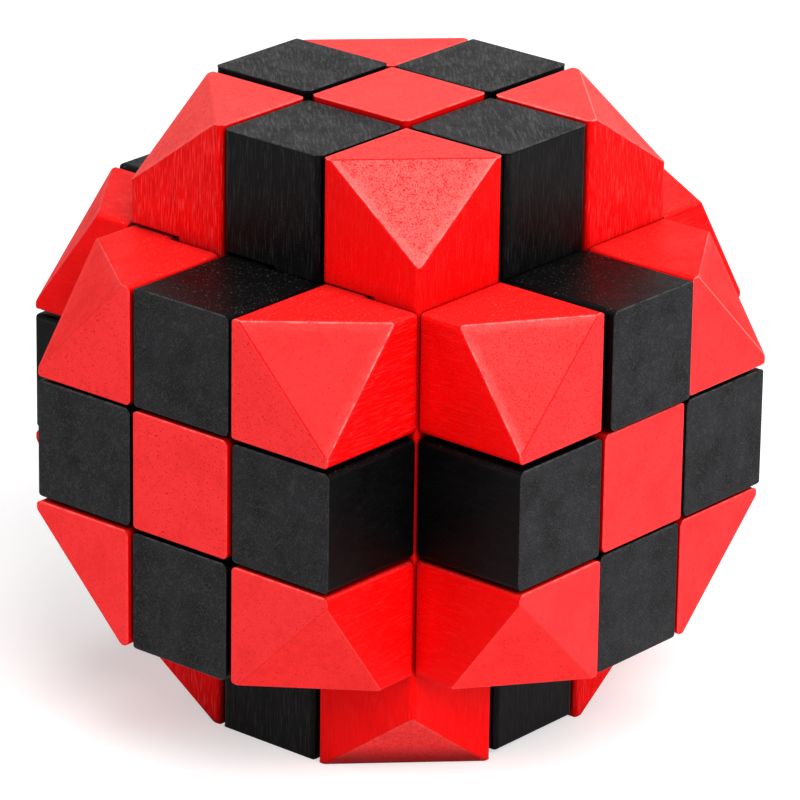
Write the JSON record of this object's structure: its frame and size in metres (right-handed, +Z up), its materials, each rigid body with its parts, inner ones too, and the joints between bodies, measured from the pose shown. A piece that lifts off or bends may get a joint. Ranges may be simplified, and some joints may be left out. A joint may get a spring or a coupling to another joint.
{
  "type": "stick burr puzzle",
  "caption": "Wooden interlocking puzzle ball of crossing square sticks in red and black, with sloping cuts on the corner sticks, that slides apart along one axis.",
  "frame": {"origin": "on the table under the centre of the ball", "axes": "+Z up along the uprights, +X towards the heads of the right pegs, +Y along the beams towards the back"},
  "size_m": [0.077, 0.0764, 0.0758],
  "materials": {
    "red_wood": "satin paint over fine-grained wood",
    "black_wood": "satin paint over fine-grained wood"
  },
  "bodies": {
    "middle_uprights": {"upright_middle_front": "black_wood", "upright_middle_centre": "red_wood", "upright_middle_back": "black_wood"},
    "right_beams": {"beam_right_low": "red_wood", "beam_right_mid": "black_wood", "beam_right_high": "red_wood"},
    "middle_beams": {"beam_middle_low": "black_wood", "beam_middle_mid": "red_wood", "beam_middle_high": "black_wood"},
    "left_uprights": {"upright_left_front": "red_wood", "upright_left_centre": "black_wood", "upright_left_back": "red_wood"},
    "right_upright_front": {"upright_right_front": "red_wood"},
    "right_upright_centre": {"upright_right_centre": "black_wood"},
    "right_upright_back": {"upright_right_back": "red_wood"},
    "left_beam_low": {"beam_left_low": "red_wood"},
    "left_beam_mid": {"beam_left_mid": "black_wood"},
    "left_beam_high": {"beam_left_high": "red_wood"},
    "right_peg_front_low": {"right_peg_front_low": "red_wood"},
    "right_peg_front_mid": {"right_peg_front_mid": "black_wood"},
    "right_peg_front_high": {"right_peg_front_high": "red_wood"},
    "right_peg_centre_low": {"right_peg_centre_low": "black_wood"},
    "right_peg_centre_mid": {"right_peg_centre_mid": "red_wood"},
    "right_peg_centre_high": {"right_peg_centre_high": "black_wood"},
    "right_peg_back_low": {"right_peg_back_low": "red_wood"},
    "right_peg_back_mid": {"right_peg_back_mid": "black_wood"},
    "right_peg_back_high": {"right_peg_back_high": "red_wood"},
    "left_peg_front_low": {"left_peg_front_low": "red_wood"},
    "left_peg_front_mid": {"left_peg_front_mid": "black_wood"},
    "left_peg_front_high": {"left_peg_front_high": "red_wood"},
    "left_peg_centre_low": {"left_peg_centre_low": "black_wood"},
    "left_peg_centre_mid": {"left_peg_centre_mid": "red_wood"},
    "left_peg_centre_high": {"left_peg_centre_high": "black_wood"},
    "left_peg_back_low": {"left_peg_back_low": "red_wood"},
    "left_peg_back_mid": {"left_peg_back_mid": "black_wood"},
    "left_peg_back_high": {"left_peg_back_high": "red_wood"}
  },
  "joints": [
    {"name": "right_beams_slide", "type": "slide", "parent": "middle_uprights", "child": "right_beams", "axis": [1, 0, 0], "range_m": [0, 0.045]},
    {"name": "right_upright_front_slide", "type": "slide", "parent": "right_beams", "child": "right_upright_front", "axis": [1, 0, 0], "range_m": [0, 0.045]},
    {"name": "right_upright_centre_slide", "type": "slide", "parent": "right_beams", "child": "right_upright_centre", "axis": [1, 0, 0], "range_m": [0, 0.045]},
    {"name": "right_upright_back_slide", "type": "slide", "parent": "right_beams", "child": "right_upright_back", "axis": [1, 0, 0], "range_m": [0, 0.045]},
    {"name": "right_peg_front_low_slide", "type": "slide", "parent": "right_upright_front", "child": "right_peg_front_low", "axis": [1, 0, 0], "range_m": [0, 0.045]},
    {"name": "right_peg_front_mid_slide", "type": "slide", "parent": "right_upright_front", "child": "right_peg_front_mid", "axis": [1, 0, 0], "range_m": [0, 0.015]},
    {"name": "right_peg_front_high_slide", "type": "slide", "parent": "right_upright_front", "child": "right_peg_front_high", "axis": [1, 0, 0], "range_m": [0, 0.045]},
    {"name": "right_peg_centre_low_slide", "type": "slide", "parent": "right_upright_centre", "child": "right_peg_centre_low", "axis": [1, 0, 0], "range_m": [0, 0.015]},
    {"name": "right_peg_centre_mid_slide", "type": "slide", "parent": "right_upright_centre", "child": "right_peg_centre_mid", "axis": [1, 0, 0], "range_m": [0, 0.045]},
    {"name": "right_peg_centre_high_slide", "type": "slide", "parent": "right_upright_centre", "child": "right_peg_centre_high", "axis": [1, 0, 0], "range_m": [0, 0.015]},
    {"name": "right_peg_back_low_slide", "type": "slide", "parent": "right_upright_back", "child": "right_peg_back_low", "axis": [1, 0, 0], "range_m": [0, 0.045]},
    {"name": "right_peg_back_mid_slide", "type": "slide", "parent": "right_upright_back", "child": "right_peg_back_mid", "axis": [1, 0, 0], "range_m": [0, 0.015]},
    {"name": "right_peg_back_high_slide", "type": "slide", "parent": "right_upright_back", "child": "right_peg_back_high", "axis": [1, 0, 0], "range_m": [0, 0.045]},
    {"name": "middle_beams_slide", "type": "slide", "parent": "middle_uprights", "child": "middle_beams", "axis": [-1, 0, 0], "range_m": [0, 0.045]},
    {"name": "left_uprights_slide", "type": "slide", "parent": "middle_beams", "child": "left_uprights", "axis": [-1, 0, 0], "range_m": [0, 0.045]},
    {"name": "left_beam_low_slide", "type": "slide", "parent": "left_uprights", "child": "left_beam_low", "axis": [-1, 0, 0], "range_m": [0, 0.045]},
    {"name": "left_beam_mid_slide", "type": "slide", "parent": "left_uprights", "child": "left_beam_mid", "axis": [-1, 0, 0], "range_m": [0, 0.045]},
    {"name": "left_beam_high_slide", "type": "slide", "parent": "left_uprights", "child": "left_beam_high", "axis": [-1, 0, 0], "range_m": [0, 0.045]},
    {"name": "left_peg_front_low_slide", "type": "slide", "parent": "left_beam_low", "child": "left_peg_front_low", "axis": [-1, 0, 0], "range_m": [0, 0.015]},
    {"name": "left_peg_centre_low_slide", "type": "slide", "parent": "left_beam_low", "child": "left_peg_centre_low", "axis": [-1, 0, 0], "range_m": [0, 0.045]},
    {"name": "left_peg_back_low_slide", "type": "slide", "parent": "left_beam_low", "child": "left_peg_back_low", "axis": [-1, 0, 0], "range_m": [0, 0.015]},
    {"name": "left_peg_front_mid_slide", "type": "slide", "parent": "left_beam_mid", "child": "left_peg_front_mid", "axis": [-1, 0, 0], "range_m": [0, 0.045]},
    {"name": "left_peg_centre_mid_slide", "type": "slide", "parent": "left_beam_mid", "child": "left_peg_centre_mid", "axis": [-1, 0, 0], "range_m": [0, 0.015]},
    {"name": "left_peg_back_mid_slide", "type": "slide", "parent": "left_beam_mid", "child": "left_peg_back_mid", "axis": [-1, 0, 0], "range_m": [0, 0.045]},
    {"name": "left_peg_front_high_slide", "type": "slide", "parent": "left_beam_high", "child": "left_peg_front_high", "axis": [-1, 0, 0], "range_m": [0, 0.015]},
    {"name": "left_peg_centre_high_slide", "type": "slide", "parent": "left_beam_high", "child": "left_peg_centre_high", "axis": [-1, 0, 0], "range_m": [0, 0.045]},
    {"name": "left_peg_back_high_slide", "type": "slide", "parent": "left_beam_high", "child": "left_peg_back_high", "axis": [-1, 0, 0], "range_m": [0, 0.015]}
  ]
}
